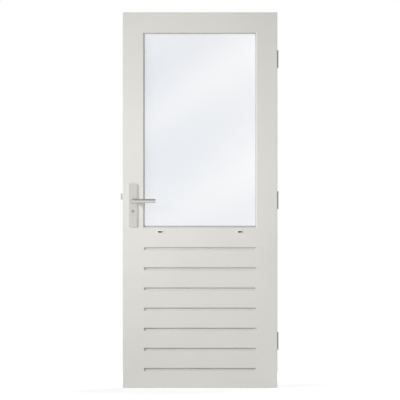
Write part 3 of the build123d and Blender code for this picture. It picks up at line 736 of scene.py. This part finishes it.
def forend_screw_places(inset):
    """Middles of the two screws near the forend's ends and of the cylinder screw's head."""
    low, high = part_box("forend")
    screw_low, screw_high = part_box("cylinder_screw")
    heights = (low[Z] + inset, high[Z] - inset, (screw_low[Z] + screw_high[Z]) / 2)
    return [(low[X], 0.0, z) for z in heights]


class BALCONYDOOR_OT_screws(bpy.types.Operator):
    """Make the screws of the leaf flaps and the forend, and the heads of the plate bolts"""

    bl_idname = "balcony_door.screws"
    bl_label = "Screws"

    def execute(self, context):
        sizes = context.scene.balcony_door_fittings
        zinc = brushed_metal("screw_head_zinc", context.scene.balcony_door_finishes)
        low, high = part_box("plate_bolts")
        bolt_radius = (high[X] - low[X]) / 2
        bolt_x = (low[X] + high[X]) / 2
        bolt_places = [(bolt_x, high[Y], z) for z in (low[Z] + bolt_radius, high[Z] - bolt_radius)]
        bolt_face = bolt_radius * sizes.bolt_face_share
        radius = sizes.screw_head_radius
        groups = (
            ("hinge_screws", hinge_screw_places(sizes.flap_thickness), (1.0, 0.0, 0.0), radius),
            ("forend_screws", forend_screw_places(sizes.forend_screw_inset), (-1.0, 0.0, 0.0), radius),
            ("plate_bolt_heads", bolt_places, (0.0, 1.0, 0.0), bolt_face),
        )
        for name, places, outward, head_radius in groups:
            heads = [screw_head_surface(place, outward, head_radius, sizes) for place in places]
            piece = surface_object(name, heads, zinc)
            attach(piece, "leaf")
        finish_nodes(zinc, "plate_bolts")
        return {"FINISHED"}


def lamp(name, kind, place, target, power, size):
    """Lamp at place, aimed at target. Size is an area lamp's side in metres or a sun's angle in radians."""
    light = bpy.data.lights.new(name, kind)
    light.energy = power
    if kind == "SUN":
        light.angle = size
    else:
        light.size = size
    holder = bpy.data.objects.new(name, light)
    aim = np.array(target) - np.array(place)
    yaw = math.atan2(aim[Y], aim[X]) - math.pi / 2
    pitch = math.atan2(np.hypot(aim[X], aim[Y]), -aim[Z])
    holder.location = place
    holder.rotation_euler = (pitch, 0.0, yaw)
    holder.visible_camera = False
    holder.visible_glossy = False
    bpy.context.scene.collection.objects.link(holder)


def seen_directly(tree):
    """1 for camera, glossy and transmission rays, 0 for the rest."""
    path = tree.nodes.new("ShaderNodeLightPath").outputs
    eye_or_gloss = arithmetic(tree, "MAXIMUM", path["Is Camera Ray"], path["Is Glossy Ray"])
    return arithmetic(tree, "MAXIMUM", eye_or_gloss, path["Is Transmission Ray"])


def white_floor(studio):
    """Square floor, matt under the lamps and white to the eye, which keeps a faint shadow near the door."""
    reach, height = studio.floor_reach, -studio.floor_drop
    corners = [(-reach, -reach), (reach, -reach), (reach, reach), (-reach, reach)]
    mesh = bpy.data.meshes.new("floor")
    mesh.from_pydata([(x, y, height) for x, y in corners], [], [(0, 1, 2, 3)])
    material = bpy.data.materials.new("floor_white")
    tree, surface = cleared_tree(material, "ShaderNodeOutputMaterial")
    tone = studio.floor_tone
    matt = node(tree, "ShaderNodeBsdfDiffuse", Color=(tone, tone, tone, 1.0))
    glow = node(tree, "ShaderNodeEmission", Color=WHITE)
    away = tree.nodes.new("ShaderNodeVectorMath")
    away.operation = "LENGTH"
    tree.links.new(own_place(tree), away.inputs[0])
    distance, near, far = away.outputs["Value"], studio.floor_near, studio.floor_far
    tree.links.new(ranged(tree, distance, near, far, studio.floor_glow, 1.0), glow.inputs["Strength"])
    share = ranged(tree, distance, near, far, studio.floor_glow_share, 1.0)
    seen = arithmetic(tree, "MULTIPLY", seen_directly(tree), share)
    tree.links.new(mixed(tree, seen, matt.outputs[0], glow.outputs[0]), surface)
    mesh.materials.append(material)
    floor = bpy.data.objects.new("floor", mesh)
    bpy.context.scene.collection.objects.link(floor)
    return floor


def studio_world(ambient, ceiling):
    """Surroundings that light the door evenly, and look like white walls under a dimmer ceiling."""
    world = bpy.data.worlds.new("studio")
    tree, surface = cleared_tree(world, "ShaderNodeOutputWorld")
    dim = node(tree, "ShaderNodeBackground", Color=WHITE, Strength=ambient)
    white = node(tree, "ShaderNodeBackground", Color=WHITE)
    height = along_axis(tree, tree.nodes.new("ShaderNodeTexCoord").outputs["Generated"], Z)
    tree.links.new(ranged(tree, height, *WALL_TO_CEILING, 1.0, ceiling), white.inputs["Strength"])
    tree.links.new(mixed(tree, seen_directly(tree), dim.outputs[0], white.outputs[0]), surface)
    return world


def front_camera(studio):
    """Level camera straight in front of the outside face."""
    camera = bpy.data.cameras.new("camera")
    camera.sensor_width = SENSOR_WIDTH_MM
    camera.lens = camera.sensor_width * studio.camera_distance / studio.picture_width
    camera.clip_end = CAMERA_FAR_LIMIT
    holder = bpy.data.objects.new("camera", camera)
    outside_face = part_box("top_rail")[0][Y]
    holder.location = (0.0, outside_face - studio.camera_distance, studio.camera_height)
    holder.rotation_euler = (math.pi / 2, 0.0, 0.0)
    bpy.context.scene.collection.objects.link(holder)
    return holder


class BALCONYDOOR_OT_stage(bpy.types.Operator):
    """Set up the floor, the white surroundings, the lamps and the camera"""

    bl_idname = "balcony_door.stage"
    bl_label = "Studio"

    def execute(self, context):
        scene, studio = context.scene, context.scene.balcony_door_studio
        floor = white_floor(studio)
        scene.world = studio_world(studio.ambient, studio.ceiling)
        target = studio.lamp_target
        lamp("key_lamp", "SUN", studio.key_place, target, studio.key_strength, studio.key_angle)
        lamp(
            "front_lamp", "AREA", studio.front_place, studio.front_target,
            studio.front_power, studio.front_size,
        )
        lamp("back_lamp", "AREA", studio.back_place, target, studio.back_power, studio.back_size)
        scene.camera = front_camera(studio)
        scene.view_settings.view_transform = "Standard"
        return {"FINISHED"}


OPERATORS = (
    BALCONYDOOR_OT_woodwork, BALCONYDOOR_OT_glazing, BALCONYDOOR_OT_drains, BALCONYDOOR_OT_levers,
    BALCONYDOOR_OT_handle_plates, BALCONYDOOR_OT_lock, BALCONYDOOR_OT_hinges, BALCONYDOOR_OT_screws,
    BALCONYDOOR_OT_stage,
)


class BALCONYDOOR_PT_panel(bpy.types.Panel):
    """Steps that finish the balcony door"""

    bl_idname = "BALCONYDOOR_PT_panel"
    bl_label = "Balcony door"
    bl_space_type = "VIEW_3D"
    bl_region_type = "UI"
    bl_category = "Balcony door"

    def draw(self, context):
        for operator in OPERATORS:
            self.layout.operator(operator.bl_idname)


CLASSES = (DoorFinishes, DoorFittings, DoorStudio, *OPERATORS, BALCONYDOOR_PT_panel)


def register():
    for cls in CLASSES:
        bpy.utils.register_class(cls)
    bpy.types.Scene.balcony_door_finishes = PointerProperty(type=DoorFinishes)
    bpy.types.Scene.balcony_door_fittings = PointerProperty(type=DoorFittings)
    bpy.types.Scene.balcony_door_studio = PointerProperty(type=DoorStudio)


def unregister():
    del bpy.types.Scene.balcony_door_studio
    del bpy.types.Scene.balcony_door_fittings
    del bpy.types.Scene.balcony_door_finishes
    for cls in reversed(CLASSES):
        bpy.utils.unregister_class(cls)


def main():
    register()
    bpy.ops.balcony_door.woodwork()
    bpy.ops.balcony_door.glazing()
    bpy.ops.balcony_door.drains()
    bpy.ops.balcony_door.levers()
    bpy.ops.balcony_door.handle_plates()
    bpy.ops.balcony_door.lock()
    bpy.ops.balcony_door.hinges()
    bpy.ops.balcony_door.screws()
    bpy.ops.balcony_door.stage()


if __name__ == "__main__":
    main()
